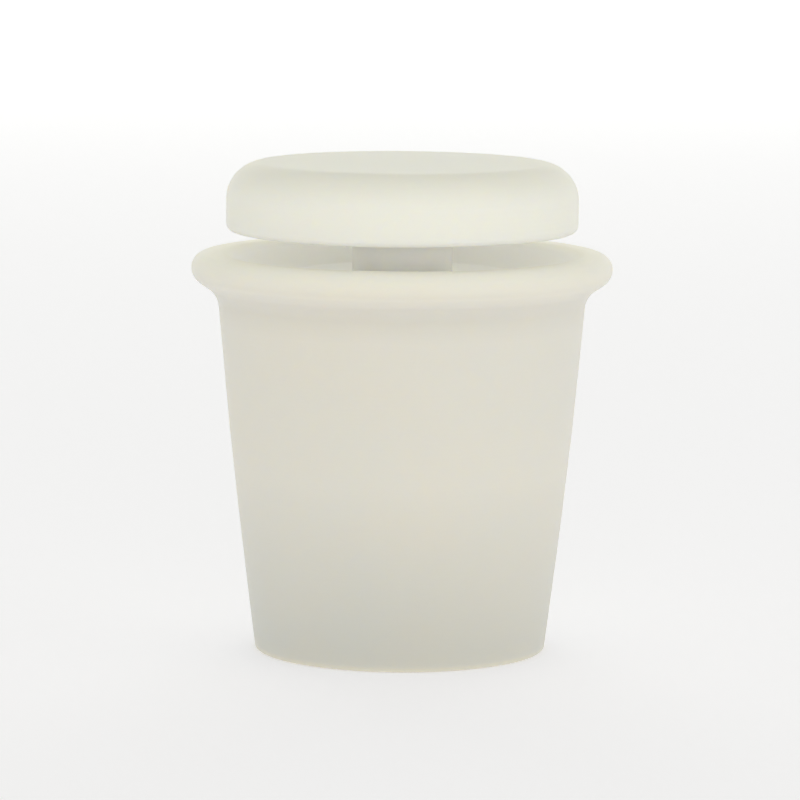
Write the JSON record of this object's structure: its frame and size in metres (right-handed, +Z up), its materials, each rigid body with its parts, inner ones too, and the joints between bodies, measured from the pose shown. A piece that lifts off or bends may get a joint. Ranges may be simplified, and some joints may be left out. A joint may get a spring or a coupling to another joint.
{
  "type": "liquor pour spout",
  "caption": "Tapered silicone bottle stopper with a rolled pouring lip, and a mushroom cap that lifts on a stem so that liquor pours out under it.",
  "frame": {"origin": "centre of the stopper's flat base, which the part stands on", "axes": "+Z up the stem, from the plug's narrow end to the cap; the breather tube is on the +Y side"},
  "size_m": [0.0252, 0.0252, 0.0292],
  "materials": {
    "silicone": "matte, slightly translucent ivory silicone",
    "core_plastic": "natural polypropylene, satin",
    "ring_rubber": "satin rubber",
    "clip_steel": "satin stainless spring steel"
  },
  "bodies": {
    "stopper": {"stopper_body": "silicone", "pour_core": "core_plastic", "breather_tube": "core_plastic"},
    "slider": {"grip_ring": "ring_rubber"},
    "cap": {"cap": "silicone", "stem_pin": "core_plastic", "retaining_clip": "clip_steel"}
  },
  "joints": [
    {"name": "cap_slide", "type": "slide", "parent": "stopper", "child": "slider", "axis": [0, 0, 1], "range_m": [-0.00142, 0.0035]},
    {"name": "cap_turn", "type": "hinge", "parent": "slider", "child": "cap", "pos_m": [0, 0, 0.012], "axis": [0, 0, 1], "continuous": true}
  ]
}
